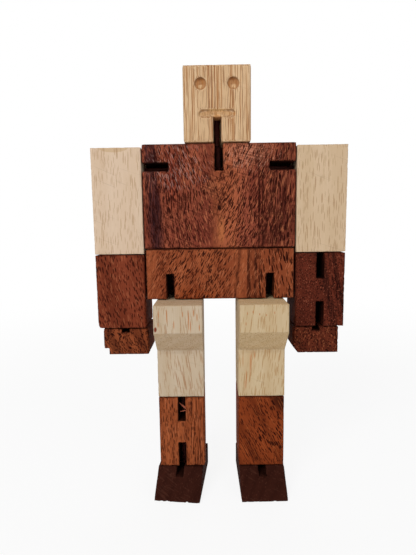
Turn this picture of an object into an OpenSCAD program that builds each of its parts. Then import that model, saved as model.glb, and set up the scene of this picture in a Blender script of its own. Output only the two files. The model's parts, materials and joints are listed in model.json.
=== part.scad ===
// Robot puzzle sawn from square wooden blocks and strung on elastic cord.
// The front of the figure is -Y, up is +Z, and it stands on Z = 0, with the origin
// under the middle of its outer box.
// Left and right are the viewer's, looking at the front.

/* [Chest and hips] */
// Width of the chest
chest_w = 72; // [68:0.5:90]
// Height of the chest
chest_h = 48.7; // [42:0.1:60]
// Depth of the head, the chest and the hips, front to back
body_d = 24; // [21:0.5:30]
// How far each side of the hips stands in from the side of the chest
hips_inset = 0.5; // [0:0.1:3]
// Height of the hips
hips_h = 24.3; // [21:0.1:32]

/* [Head] */
// Width of the head
head_w = 31.2; // [22:0.1:40]
// Height of the head
head_h = 34.2; // [30:0.1:44]
// How far the head stands off the middle, to the left
head_shift = 0.6; // [0:0.1:1.2]
// Width of an eye dimple
eye_d = 5; // [3:0.1:6]
// Depth of the straight wall of an eye dimple
eye_wall = 0.8; // [0.3:0.1:1]
// Depth of the point in the middle of an eye dimple
eye_depth = 1.5; // [1.2:0.1:2]
// Distance of each eye from the middle of the head
eye_x = 7.5; // [4:0.1:8]
// Distance of the eyes below the top of the head
eye_drop = 8.2; // [5:0.1:11]
// Length of the mouth groove
mouth_w = 16.4; // [8:0.1:18]
// Height of the mouth groove
mouth_h = 3.2; // [2:0.1:4]
// Depth of the mouth groove
mouth_depth = 0.9; // [0.4:0.1:2]
// Distance of the middle of the mouth above the head's slot
mouth_rise = 1.5; // [1.2:0.1:5]

/* [Arms] */
// Width and depth of the upper arms and forearms
arm_w = 23.6; // [20:0.1:26]
// Height of an upper arm
upper_arm_h = 49.8; // [40:0.1:56]
// Height of a forearm
forearm_h = 36; // [30:0.1:44]
// Width and depth of a hand
hand_w = 22.2; // [19:0.1:24]
// Height of a hand
hand_h = 13.2; // [11.5:0.1:18]
// How far the hands hang towards the body from the arms' middle
hand_shift = 1.5; // [0:0.1:2]
// How far the tops of the arms lie below the top of the chest
arm_drop = 1.3; // [0:0.1:3]
// Width of the step and the bevel sawn off one corner of each hand
hand_cut_w = 2.5; // [1:0.1:3.5]
// Height of the step and the bevel sawn off one corner of each hand
hand_cut_h = 3.2; // [1:0.1:4]
// Size of the worn corner of the left forearm
worn_corner = 2.4; // [0.8:0.1:4]

/* [Legs] */
// Width of the legs and feet
leg_w = 22.6; // [20:0.1:25]
// Depth of the legs, front to back
leg_d = 24; // [21:0.5:28]
// How far each leg stands in from the side of the chest
leg_inset = 5.0; // [4.6:0.1:7]
// How far the legs stand forward of the body's middle
leg_forward = 2.4; // [0:0.1:3]
// Height of a thigh
thigh_h = 48.1; // [42:0.1:60]
// Height of a shin
shin_h = 36; // [30:0.1:44]
// Height of a foot
foot_h = 12; // [11:0.1:16]
// How far the knob of a thigh stands forward of its front
knob_d = 11.4; // [5:0.1:14]
// Height of the straight face of that knob
knob_h = 13; // [8:0.1:18]
// Height of the blunt nose under the bevel of a toe
toe_nose = 0.8; // [0.6:0.1:4]
// Angle by which the left foot turns outwards
left_toe_out = 6; // [0:0.5:10]
// Angle by which the right foot turns outwards
right_toe_out = 1.5; // [0:0.5:10]

/* [Slots, holes and elastic] */
// Width of the sawn slots that let the elastic swing
slot_w = 3.6; // [3:0.1:4.5]
// Height of the slots in the chest's top, forearms, shins and hips
slot_l = 12.3; // [8:0.1:14]
// Height of the slot in the head
head_slot_l = 11.3; // [8:0.1:14]
// Length of the chest's side slots
shoulder_slot_l = 12.2; // [8:0.1:16]
// Distance of the shoulders' elastic below the top of the chest
shoulder_drop = 10.5; // [7:0.1:14]
// Depth of the slot in the top of a hand
hand_slot_depth = 2; // [1:0.1:4]
// Depth of the slot in the top of a foot
foot_slot_depth = 3.7; // [2:0.1:5]
// Diameter of the elastic
cord_d = 2.4; // [1.6:0.1:2.8]
// Diameter of the drilled holes
hole_d = 6; // [5:0.1:6.4]
// Diameter of the wider hole where a leg's elastic passes from the hips to the thigh
hip_hole_d = 8; // [7.4:0.1:9]
// Distance of the hips' leg holes from the side of the chest
hip_hole_inset = 12; // [10:0.1:13]
// Diameter of an end knot
knot_d = 7.2; // [6.6:0.1:8]
// Depth of the recess that hides a knot
recess_depth = 6.6; // [6:0.1:8]

/* [Fits] */
// Gap between two blocks that stand on each other
seam = 0.25; // [0.1:0.05:0.5]
// Gap between the arms and the chest
side_gap = 0.3; // [0.1:0.05:0.5]
// Easing of the blocks' edges
ease = 0.5; // [0.3:0.1:1.2]
// Gap between two stretches of elastic, and between a knot and its seat
cord_gap = 0.2; // [0.1:0.05:0.4]

/* [Hidden] */
$fn = 32;
// Facets round the elastic and its knots
cord_facets = 16;
// Straight steps in an eased edge
ease_steps = 3;
// How far a cut runs past the surface that it opens
over = 2;
// Length of elastic at a joint that turns apart from the block round it
link_l = 9;
// Room round a knot in its recess
knot_room = 1.2;
// Room round the glued end of the elastic in the head
glue_room = 0.2;
// Depth of the glued hole above the head's slot hole
glue_depth = 12;

shin_z = foot_h + seam;
thigh_z = shin_z + shin_h + seam;
hips_z = thigh_z + thigh_h + seam;
chest_z = hips_z + hips_h + seam;
chest_top = chest_z + chest_h;
head_z = chest_top + seam;
shoulder_z = chest_top - shoulder_drop;
upper_arm_z = chest_top - arm_drop - upper_arm_h;
forearm_z = upper_arm_z - seam - forearm_h;
hand_z = forearm_z - seam - hand_h;

hips_w = chest_w - 2 * hips_inset;
arm_x = chest_w / 2 + side_gap + arm_w / 2;
hand_x = arm_x - hand_shift;
wrist_x = (arm_x + hand_x) / 2;
leg_x = chest_w / 2 - leg_inset - leg_w / 2;
hip_hole_x = chest_w / 2 - hip_hole_inset;
toe_d = foot_h - toe_nose;
nose_ease = min(ease, toe_nose) * 0.4;
toe_out = max(left_toe_out, right_toe_out);
toe_reach = (leg_d / 2 + toe_d) * cos(toe_out) + (leg_w / 2 - ease) * sin(toe_out);
body_y = (leg_forward + toe_reach - body_d / 2) / 2;
recess_d = knot_d + knot_room;
wrap = cord_d * 0.95;
knot_l = 2 * wrap;

chest_brown = [0.45, 0.24, 0.17];
hips_brown = [0.52, 0.29, 0.18];
rose_brown = [0.42, 0.22, 0.15];
dark_brown = [0.35, 0.19, 0.13];
shin_brown = [0.50, 0.28, 0.17];
foot_brown = [0.24, 0.13, 0.12];
pale_wood = [0.85, 0.74, 0.60];
tan_wood = [0.80, 0.66, 0.48];
elastic_black = [0.10, 0.06, 0.06];

// Outline through corners [x, y, easing], each corner rounded over its easing
function eased(corners) = let (count = len(corners)) [
  for (i = [0:count - 1])
    let (
      before = corners[(i + count - 1) % count],
      after = corners[(i + 1) % count],
      corner = [corners[i][0], corners[i][1]],
      back = [before[0], before[1]] - corner,
      ahead = [after[0], after[1]] - corner,
      start = corner + corners[i][2] * back / norm(back),
      end = corner + corners[i][2] * ahead / norm(ahead)
    )
    each corners[i][2] == 0
      ? [corner]
      : [for (k = [0:ease_steps]) let (t = k / ease_steps)
          (1 - t) * (1 - t) * start + 2 * t * (1 - t) * corner + t * t * end]
];

// Upright rectangle standing on its lower edge
function upright(w, h) = eased([[-w / 2, 0, ease], [w / 2, 0, ease], [w / 2, h, ease], [-w / 2, h, ease]]);

// Rectangle round the origin
function centred(w, d) = eased(
  [[-w / 2, -d / 2, ease], [w / 2, -d / 2, ease], [w / 2, d / 2, ease], [-w / 2, d / 2, ease]]
);

// Side view of a leg block with a wedge or knob in front: y first, then z
function thigh_side() = eased([
  [-leg_d / 2, 0, ease],
  [leg_d / 2, 0, ease],
  [leg_d / 2, thigh_h, ease],
  [-leg_d / 2 - knob_d, thigh_h, ease],
  [-leg_d / 2 - knob_d, thigh_h - knob_h, ease / 2],
  [-leg_d / 2, thigh_h - knob_h - knob_d, 0]
]);

function foot_side() = eased([
  [-leg_d / 2 - toe_d, 0, nose_ease],
  [leg_d / 2, 0, ease],
  [leg_d / 2, foot_h, ease],
  [-leg_d / 2, foot_h, ease / 2],
  [-leg_d / 2 - toe_d, toe_nose, nose_ease]
]);

// Front view of the left hand, with a step sawn off its outer corner
function stepped_hand() = eased([
  [-hand_w / 2 + hand_cut_w, 0, ease / 2],
  [hand_w / 2, 0, ease],
  [hand_w / 2, hand_h, ease],
  [-hand_w / 2, hand_h, ease],
  [-hand_w / 2, hand_cut_h, ease / 2],
  [-hand_w / 2 + hand_cut_w, hand_cut_h, 0]
]);

// Front view of the right hand, with a bevel sawn off its inner corner
function bevelled_hand() = eased([
  [-hand_w / 2 + hand_cut_w, 0, ease / 2],
  [hand_w / 2, 0, ease],
  [hand_w / 2, hand_h, ease],
  [-hand_w / 2, hand_h, ease],
  [-hand_w / 2, hand_cut_h, ease / 2]
]);

// The step is on the left hand and the bevel on the right one
function hand_front(side) = side < 0 ? stepped_hand() : bevelled_hand();

// Front view of the left forearm, with its lower outer corner worn round
function worn_forearm() = eased([
  [-arm_w / 2, 0, worn_corner],
  [arm_w / 2, 0, ease],
  [arm_w / 2, forearm_h, ease],
  [-arm_w / 2, forearm_h, ease]
]);

// Block left where its front, side and top outlines meet
module sawn(front, side, plan, h) {
  reach = 2 * (chest_w + body_d);
  intersection() {
    rotate([90, 0, 0]) linear_extrude(reach, center = true) polygon(front);
    rotate([90, 0, 90]) linear_extrude(reach, center = true) polygon(side);
    translate([0, 0, -over]) linear_extrude(h + 2 * over) polygon(plan);
  }
}

module block(w, d, h) {
  sawn(upright(w, h), upright(d, h), centred(w, d), h);
}

module bore(d, from, to) {
  translate([0, 0, from]) cylinder(d = d, h = to - from);
}

// Sawn slot from the front face, at depth d, back to the hole in the middle
module slot(d, from, to) {
  translate([-slot_w / 2, -d, from]) cube([slot_w, d, to - from]);
}

// Straight stretch of elastic between two points
module strand(from, to) {
  run = to - from;
  translate(from) rotate([0, acos(run[2] / norm(run)), atan2(run[1], run[0])])
    cylinder(d = cord_d, h = norm(run), $fn = cord_facets);
}

// End knot of two wraps, hanging down from its seat, with a short tail
module knot() {
  translate([0, 0, -knot_l]) rotate_extrude($fn = cord_facets) {
    square([knot_d / 2 - wrap / 2, knot_l]);
    for (turn = [0.5, 1.5])
      translate([knot_d / 2 - wrap / 2, turn * wrap]) circle(d = wrap, $fn = cord_facets);
  }
  translate([0, 0, -knot_l - cord_d / 2]) cylinder(d = cord_d, h = cord_d, $fn = cord_facets);
}

module head() {
  color(tan_wood) translate([-head_shift, 0, head_z]) difference() {
    block(head_w, body_d, head_h);
    bore(hole_d, -over, slot_l);
    bore(cord_d + glue_room, 0, slot_l + glue_depth);
    slot(body_d / 2 + over, -over, head_slot_l);
    eyes();
    mouth();
  }
}

// Drilled dimples with a straight wall and a shallow point
module eyes() {
  profile = [[0, -over], [eye_d / 2, -over], [eye_d / 2, eye_wall], [0, eye_depth]];
  for (side = [-1, 1])
    translate([side * eye_x, -body_d / 2, head_h - eye_drop]) rotate([-90, 0, 0])
      rotate_extrude() polygon(profile);
}

// Groove with round ends, which the head's slot runs into
module mouth() {
  middle = head_slot_l + mouth_rise;
  straight = mouth_w - mouth_h;
  translate([0, -body_d / 2 + mouth_depth, middle]) rotate([90, 0, 0]) {
    translate([-straight / 2, -mouth_h / 2, 0]) cube([straight, mouth_h, mouth_depth + over]);
    for (side = [-1, 1]) translate([side * straight / 2, 0, 0])
      cylinder(d = mouth_h, h = mouth_depth + over);
  }
}

module chest() {
  color(chest_brown) translate([0, 0, chest_z]) difference() {
    block(chest_w, body_d, chest_h);
    bore(hole_d, -over, chest_h + over);
    slot(body_d / 2 + over, chest_h - slot_l, chest_h + over);
    translate([0, 0, chest_h - shoulder_drop]) rotate([0, 90, 0])
      cylinder(d = hole_d, h = chest_w + 2 * over, center = true);
    for (side = [0, 1]) mirror([side, 0, 0])
      translate([chest_w / 2 - shoulder_slot_l, -body_d / 2 - over, chest_h - shoulder_drop - slot_w / 2])
        cube([shoulder_slot_l + over, body_d / 2 + over, slot_w]);
  }
}

module hips() {
  color(hips_brown) translate([0, 0, hips_z]) difference() {
    block(hips_w, body_d, hips_h);
    bore(hole_d, -over, hips_h + over);
    bore(recess_d, -over, recess_depth);
    for (side = [-1, 1]) translate([side * hip_hole_x, 0, 0]) {
      bore(hole_d, -over, hips_h + over);
      bore(hip_hole_d, -over, slot_l);
      bore(recess_d, hips_h - recess_depth, hips_h + over);
      slot(body_d / 2 + over, -over, slot_l);
    }
  }
}

module upper_arm(side) {
  color(side < 0 ? pale_wood : tan_wood) translate([side * arm_x, 0, upper_arm_z]) difference() {
    block(arm_w, arm_w, upper_arm_h);
    bore(hole_d, -over, shoulder_z - upper_arm_z + hole_d / 2);
    translate([0, 0, shoulder_z - upper_arm_z]) rotate([0, -side * 90, 0])
      cylinder(d = hole_d, h = arm_w / 2 + over);
  }
}

// The slots of a forearm face front on the right, and back on the left
module forearm(side) {
  color(side < 0 ? rose_brown : dark_brown) translate([side * arm_x, 0, forearm_z]) difference() {
    if (side < 0) sawn(worn_forearm(), upright(arm_w, forearm_h), centred(arm_w, arm_w), forearm_h);
    else block(arm_w, arm_w, forearm_h);
    bore(hole_d, -over, forearm_h + over);
    rotate([0, 0, side < 0 ? 180 : 0]) {
      slot(arm_w / 2 + over, -over, slot_l);
      slot(arm_w / 2 + over, forearm_h - slot_l, forearm_h + over);
    }
  }
}

module hand(side) {
  color(side < 0 ? rose_brown : dark_brown) translate([side * hand_x, 0, hand_z]) difference() {
    sawn(hand_front(side), upright(hand_w, hand_h), centred(hand_w, hand_w), hand_h);
    bore(hole_d, -over, hand_h + over);
    bore(recess_d, -over, recess_depth);
    slot(hand_w / 2 + over, hand_h - hand_slot_depth, hand_h + over);
  }
}

module thigh(side) {
  color(pale_wood) translate([side * leg_x, -leg_forward, thigh_z]) difference() {
    sawn(upright(leg_w, thigh_h), thigh_side(), leg_plan(knob_d), thigh_h);
    bore(hole_d, -over, thigh_h + over);
    bore(hip_hole_d, thigh_h - slot_l, thigh_h + over);
  }
}

// Top view of a leg block that reaches forward by an extra length
function leg_plan(extra) = eased([
  [-leg_w / 2, -leg_d / 2 - extra, ease],
  [leg_w / 2, -leg_d / 2 - extra, ease],
  [leg_w / 2, leg_d / 2, ease],
  [-leg_w / 2, leg_d / 2, ease]
]);

// The slots of a shin face front on the left, and back on the right
module shin(side) {
  color(shin_brown) translate([side * leg_x, -leg_forward, shin_z]) difference() {
    block(leg_w, leg_d, shin_h);
    bore(hole_d, -over, shin_h + over);
    rotate([0, 0, side < 0 ? 0 : 180]) {
      slot(leg_d / 2 + over, -over, slot_l);
      slot(leg_d / 2 + over, shin_h - slot_l, shin_h + over);
    }
  }
}

module foot(side) {
  turn = side < 0 ? -left_toe_out : right_toe_out;
  color(foot_brown) translate([side * leg_x, -leg_forward, 0]) rotate([0, 0, turn]) difference() {
    sawn(upright(leg_w, foot_h), foot_side(), leg_plan(toe_d), foot_h);
    bore(hole_d, -over, foot_h + over);
    bore(recess_d, -over, recess_depth);
    slot(leg_d / 2 + toe_d + over, foot_h - foot_slot_depth, foot_h + over);
  }
}

// Sets a piece down so that the outer box is centred front to back
module placed() {
  translate([0, body_y, 0]) children();
}

// The glued end of the head's elastic
module head_elastic() {
  end = head_z + slot_l + glue_depth - cord_gap;
  color(elastic_black) strand([-head_shift, 0, head_z + link_l + cord_gap], [-head_shift, 0, end]);
}

module neck_elastic() {
  color(elastic_black) strand([-head_shift, 0, head_z], [-head_shift, 0, head_z + link_l]);
}

// The arms' elastic crosses the chest and is tied to the upright one where they meet
module chest_elastic() {
  color(elastic_black) {
    strand([-chest_w / 2, 0, shoulder_z], [chest_w / 2, 0, shoulder_z]);
    strand([0, 0, chest_z], [0, 0, chest_top]);
    translate([0, 0, shoulder_z]) sphere(d = cord_d * 2, $fn = cord_facets);
  }
}

// The upright elastic ends in a knot under the hips
module hips_elastic() {
  seat = [0, 0, hips_z + recess_depth - cord_gap];
  color(elastic_black) {
    strand(seat, [0, 0, hips_z + hips_h]);
    translate(seat) knot();
  }
}

// Each leg's elastic ends in a knot in the top of the hips
module hip_knot(side) {
  seat = [side * hip_hole_x, 0, hips_z + hips_h - recess_depth + cord_gap];
  color(elastic_black) {
    strand(hip_crossing(side, hips_z), seat);
    translate(seat) mirror([0, 0, 1]) knot();
  }
}

// Where a leg's elastic passes from the hips to the thigh, at height z
function hip_crossing(side, z) = [side * (hip_hole_x + leg_x) / 2, -leg_forward / 2, z];

module shoulder_elastic(side) {
  color(elastic_black) strand(
    [side * (chest_w / 2 + side_gap), 0, shoulder_z],
    [side * (arm_x - cord_d / 2 - cord_gap), 0, shoulder_z]
  );
}

module upper_arm_elastic(side) {
  color(elastic_black) {
    strand([side * arm_x, 0, upper_arm_z], [side * arm_x, 0, shoulder_z]);
    translate([side * arm_x, 0, shoulder_z]) sphere(d = cord_d, $fn = cord_facets);
  }
}

module forearm_elastic(side) {
  color(elastic_black) strand(
    [side * wrist_x, 0, forearm_z + link_l + cord_gap],
    [side * arm_x, 0, forearm_z + forearm_h]
  );
}

module wrist_elastic(side) {
  color(elastic_black) strand([side * wrist_x, 0, forearm_z], [side * wrist_x, 0, forearm_z + link_l]);
}

module hand_elastic(side) {
  seat = [side * hand_x, 0, hand_z + recess_depth - cord_gap];
  color(elastic_black) {
    strand(seat, [side * wrist_x, 0, hand_z + hand_h]);
    translate(seat) knot();
  }
}

module hip_elastic(side) {
  color(elastic_black) strand(
    [side * leg_x, -leg_forward, thigh_z + thigh_h - slot_l],
    hip_crossing(side, thigh_z + thigh_h)
  );
}

// Elastic in a leg, between two heights
module leg_strand(side, from, to) {
  color(elastic_black) strand([side * leg_x, -leg_forward, from], [side * leg_x, -leg_forward, to]);
}

module thigh_elastic(side) {
  leg_strand(side, thigh_z + link_l + cord_gap, thigh_z + thigh_h - slot_l - cord_d / 2);
}

module knee_elastic(side) {
  leg_strand(side, thigh_z, thigh_z + link_l);
}

module shin_elastic(side) {
  leg_strand(side, shin_z + link_l + cord_gap, shin_z + shin_h);
}

module ankle_elastic(side) {
  leg_strand(side, shin_z, shin_z + link_l);
}

module foot_elastic(side) {
  leg_strand(side, recess_depth - cord_gap, foot_h);
  color(elastic_black) translate([side * leg_x, -leg_forward, recess_depth - cord_gap]) knot();
}

placed() head();
placed() chest();
placed() hips();
placed() upper_arm(-1);  // left_upper_arm
placed() upper_arm(1);  // right_upper_arm
placed() forearm(-1);  // left_forearm
placed() forearm(1);  // right_forearm
placed() hand(-1);  // left_hand
placed() hand(1);  // right_hand
placed() thigh(-1);  // left_thigh
placed() thigh(1);  // right_thigh
placed() shin(-1);  // left_shin
placed() shin(1);  // right_shin
placed() foot(-1);  // left_foot
placed() foot(1);  // right_foot
placed() head_elastic();
placed() neck_elastic();
placed() chest_elastic();
placed() hips_elastic();
placed() shoulder_elastic(-1);  // left_shoulder_elastic
placed() shoulder_elastic(1);  // right_shoulder_elastic
placed() upper_arm_elastic(-1);  // left_upper_arm_elastic
placed() upper_arm_elastic(1);  // right_upper_arm_elastic
placed() forearm_elastic(-1);  // left_forearm_elastic
placed() forearm_elastic(1);  // right_forearm_elastic
placed() wrist_elastic(-1);  // left_wrist_elastic
placed() wrist_elastic(1);  // right_wrist_elastic
placed() hand_elastic(-1);  // left_hand_elastic
placed() hand_elastic(1);  // right_hand_elastic
placed() hip_knot(-1);  // left_hip_knot
placed() hip_knot(1);  // right_hip_knot
placed() hip_elastic(-1);  // left_hip_elastic
placed() hip_elastic(1);  // right_hip_elastic
placed() thigh_elastic(-1);  // left_thigh_elastic
placed() thigh_elastic(1);  // right_thigh_elastic
placed() knee_elastic(-1);  // left_knee_elastic
placed() knee_elastic(1);  // right_knee_elastic
placed() shin_elastic(-1);  // left_shin_elastic
placed() shin_elastic(1);  // right_shin_elastic
placed() ankle_elastic(-1);  // left_ankle_elastic
placed() ankle_elastic(1);  // right_ankle_elastic
placed() foot_elastic(-1);  // left_foot_elastic
placed() foot_elastic(1);  // right_foot_elastic
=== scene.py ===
import json
import math

import bmesh
import bpy
from mathutils import Euler, Matrix, Vector


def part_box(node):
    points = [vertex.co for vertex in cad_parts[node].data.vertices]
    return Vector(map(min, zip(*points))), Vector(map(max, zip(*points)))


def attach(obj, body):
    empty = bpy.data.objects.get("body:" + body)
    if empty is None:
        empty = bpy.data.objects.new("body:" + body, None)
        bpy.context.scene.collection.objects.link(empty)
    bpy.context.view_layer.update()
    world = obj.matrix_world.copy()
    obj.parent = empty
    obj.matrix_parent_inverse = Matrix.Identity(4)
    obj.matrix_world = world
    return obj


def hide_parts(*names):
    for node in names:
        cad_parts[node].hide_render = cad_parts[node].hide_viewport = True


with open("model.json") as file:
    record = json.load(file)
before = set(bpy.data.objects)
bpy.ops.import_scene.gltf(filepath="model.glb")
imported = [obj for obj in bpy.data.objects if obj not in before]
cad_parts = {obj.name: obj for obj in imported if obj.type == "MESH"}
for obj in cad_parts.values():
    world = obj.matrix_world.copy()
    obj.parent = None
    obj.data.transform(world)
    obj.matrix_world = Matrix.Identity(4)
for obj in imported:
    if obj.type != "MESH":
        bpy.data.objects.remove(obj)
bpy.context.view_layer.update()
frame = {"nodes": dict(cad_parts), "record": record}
nodes = frame["nodes"]
mm = 0.001
bpy.context.scene.view_settings.view_transform = "Standard"
print("frame loaded:", len(nodes), "nodes")


# Colours are written as they read on screen, 0 to 255; this is the screen's own curve
def paint(red, green, blue):
    channels = []
    for value in (red, green, blue):
        share = value / 255
        channels.append(share / 12.92 if share <= 0.04045 else ((share + 0.055) / 1.055) ** 2.4)
    return (*channels, 1.0)


# Adds one node, sets its options and connects or fills its inputs
def wire(tree, kind, inputs=None, **options):
    node = tree.nodes.new(kind)
    for name, value in options.items():
        setattr(node, name, value)
    for key, value in (inputs or {}).items():
        if isinstance(value, bpy.types.NodeSocket):
            tree.links.new(value, node.inputs[key])
        else:
            node.inputs[key].default_value = value
    return node


def maths(tree, operation, *values):
    return wire(tree, "ShaderNodeMath", dict(enumerate(values)), operation=operation).outputs[0]


def vectors(tree, operation, *values):
    node = wire(tree, "ShaderNodeVectorMath", dict(enumerate(values)), operation=operation)
    return node.outputs["Value" if operation in ("LENGTH", "DOT_PRODUCT") else "Vector"]


def scaled(tree, vector, factor):
    return wire(tree, "ShaderNodeVectorMath", {0: vector, "Scale": factor}, operation="SCALE").outputs[0]


def combined(tree, x, y, z):
    return wire(tree, "ShaderNodeCombineXYZ", {0: x, 1: y, 2: z}).outputs[0]


def separated(tree, vector):
    return wire(tree, "ShaderNodeSeparateXYZ", {0: vector}).outputs


def remap(tree, value, fromMin, fromMax, toMin=0.0, toMax=1.0, smooth=True):
    spans = {"Value": value, "From Min": fromMin, "From Max": fromMax, "To Min": toMin, "To Max": toMax}
    node = wire(tree, "ShaderNodeMapRange", spans, interpolation_type="SMOOTHSTEP" if smooth else "LINEAR")
    return node.outputs["Result"]


def noise(tree, vector, seed, scale=1.0, layers=2.0, roughness=0.5, output=0):
    settings = {"Vector": vector, "Scale": scale, "Detail": layers, "W": seed, "Roughness": roughness}
    return wire(tree, "ShaderNodeTexNoise", settings, noise_dimensions="4D").outputs[output]


def blendColours(tree, factor, first, second):
    inputs = {0: factor, 6: first, 7: second}  # the colour sockets among the node's many
    return wire(tree, "ShaderNodeMix", inputs, data_type="RGBA").outputs[2]


# A node group: an input's value gives its kind of socket, or a word does
def newGroup(name, inputs, outputs, kind="ShaderNodeTree"):
    socketWords = {float: "Float", int: "Int", tuple: "Vector"}
    tree = bpy.data.node_groups.new(name, kind)
    for label, value in inputs.items():
        word = socketWords.get(type(value), value)
        socket = tree.interface.new_socket(name=label, in_out="INPUT", socket_type="NodeSocket" + word)
        if word != value:
            socket.default_value = value
    for label, word in outputs.items():
        tree.interface.new_socket(name=label, in_out="OUTPUT", socket_type="NodeSocket" + word)
    given = tree.nodes.new("NodeGroupInput").outputs
    return tree, given, tree.nodes.new("NodeGroupOutput").inputs


def useGroup(tree, group, inputs):
    return wire(tree, "ShaderNodeGroup", inputs, node_tree=group).outputs


def addObject(name, data):
    added = bpy.data.objects.new(name, data)
    bpy.context.scene.collection.objects.link(added)
    return added


def newMaterial(name, roughness=None):
    material = bpy.data.materials.new(name)
    material.use_nodes = True
    shader = material.node_tree.nodes["Principled BSDF"]
    if roughness is not None:
        shader.inputs["Roughness"].default_value = roughness
    return material, material.node_tree, shader


def addBump(tree, shader, height, strength, size):
    bump = wire(tree, "ShaderNodeBump", {"Height": height, "Strength": strength, "Distance": size * mm})
    tree.links.new(bump.outputs[0], shader.inputs["Normal"])


# The camera stands where the photograph was taken from: places in mm, turns in degrees
cameraPlace = {"x": -3.72, "y": -203.54, "z": 132.8, "pitch": 7.27, "yaw": -0.60, "roll": -0.79,
               "lens": 27.05, "sensor": 36, "nearest": 10}


def placeCamera(place):
    # The world's axes turned to right, down and ahead, then by the three turns, then to a camera's own
    pitch = Matrix.Rotation(math.radians(place["pitch"]), 3, "X")
    yaw = Matrix.Rotation(math.radians(-place["yaw"]), 3, "Y")
    roll = Matrix.Rotation(math.radians(place["roll"]), 3, "Z")
    ahead = Matrix(((1, 0, 0), (0, 0, -1), (0, 1, 0)))
    flip = Matrix(((1, 0, 0), (0, -1, 0), (0, 0, -1)))
    seen = flip @ roll @ pitch @ yaw @ ahead
    data = bpy.data.cameras.new("camera")
    data.lens = place["lens"]
    data.sensor_width = place["sensor"]
    data.clip_start = place["nearest"] * mm
    camera = addObject("camera", data)
    spot = Vector((place["x"], place["y"], place["z"])) * mm
    camera.matrix_world = Matrix.Translation(spot) @ seen.transposed().to_4x4()
    bpy.context.scene.camera = camera


placeCamera(cameraPlace)

# Lengths in metres, power in watts
studio = {"sky": 0.34, "floorSize": 30.0, "floorShade": (0.86, 0.86, 0.86, 1.0), "floorRough": 0.9,
          "floorShine": 0.1, "floorGlow": 0.88, "glowFrom": 0.12, "glowTo": 0.6, "lampsAim": (0, 0, 0.1)}
lamps = {"key": {"place": (-0.5, -0.8, 0.75), "size": 0.5, "power": 6.6},
         "fill": {"place": (0.75, -0.75, 0.35), "size": 0.8, "power": 2.1},
         "rim": {"place": (0.1, 0.9, 0.9), "size": 0.8, "power": 3.2}}


# White to the camera and in reflections, a plain level for everything else
def whiteSky(level):
    world = bpy.data.worlds.new("studioSky")
    world.use_nodes = True
    tree = world.node_tree
    tree.nodes.clear()
    path = tree.nodes.new("ShaderNodeLightPath").outputs
    mirrored = maths(tree, "MAXIMUM", path["Is Glossy Ray"], path["Is Transmission Ray"])
    seen = maths(tree, "MAXIMUM", path["Is Camera Ray"], mirrored)
    strength = maths(tree, "MAXIMUM", seen, level)
    background = wire(tree, "ShaderNodeBackground", {"Color": (1, 1, 1, 1), "Strength": strength})
    wire(tree, "ShaderNodeOutputWorld", {"Surface": background.outputs[0]})
    bpy.context.scene.world = world


# Mostly white to the camera, so that only a faint shadow stays near the feet
def paleFloor(settings):
    mesh = bpy.data.meshes.new("floor")
    half = settings["floorSize"] / 2
    corners = [(-half, -half, 0), (half, -half, 0), (half, half, 0), (-half, half, 0)]
    mesh.from_pydata(corners, [], [(0, 1, 2, 3)])
    floor = addObject("floor", mesh)
    material, tree, shader = newMaterial("floorWhite", settings["floorRough"])
    shader.inputs["Base Color"].default_value = settings["floorShade"]
    shader.inputs["Specular IOR Level"].default_value = settings["floorShine"]
    path = tree.nodes.new("ShaderNodeLightPath").outputs
    glow = wire(tree, "ShaderNodeEmission", {"Color": (1, 1, 1, 1), "Strength": 1.0})
    away = vectors(tree, "LENGTH", tree.nodes.new("ShaderNodeTexCoord").outputs["Object"])
    fade = remap(tree, away, settings["glowFrom"], settings["glowTo"], settings["floorGlow"], 1.0)
    seen = maths(tree, "MAXIMUM", path["Is Camera Ray"], path["Is Glossy Ray"])
    share = maths(tree, "MULTIPLY", seen, fade)
    mixed = wire(tree, "ShaderNodeMixShader", {0: share, 1: shader.outputs[0], 2: glow.outputs[0]})
    tree.links.new(mixed.outputs[0], tree.nodes["Material Output"].inputs["Surface"])
    mesh.materials.append(material)


def softLamp(name, aim, place, size, power):
    data = bpy.data.lights.new(name, "AREA")
    data.size = size
    data.energy = power
    lamp = addObject(name, data)
    lamp.location = place
    lamp.rotation_mode = "QUATERNION"
    lamp.rotation_quaternion = (Vector(aim) - Vector(place)).to_track_quat("-Z", "Y")


whiteSky(studio["sky"])
paleFloor(studio)
for lampName, lamp in lamps.items():
    softLamp(lampName, studio["lampsAim"], **lamp)
print("camera, floor and lamps placed")

# What all the woods share; a scale is per mm, and low to high is the part of a noise that counts
noiseMiddle = (0.35, 0.65)
grainDetail = {"ringLean": 0.04, "wanderPush": 4.0, "cloudAcross": 0.09, "cloudAlong": 0.035, "low": 0.3,
               "high": 0.7}


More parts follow.
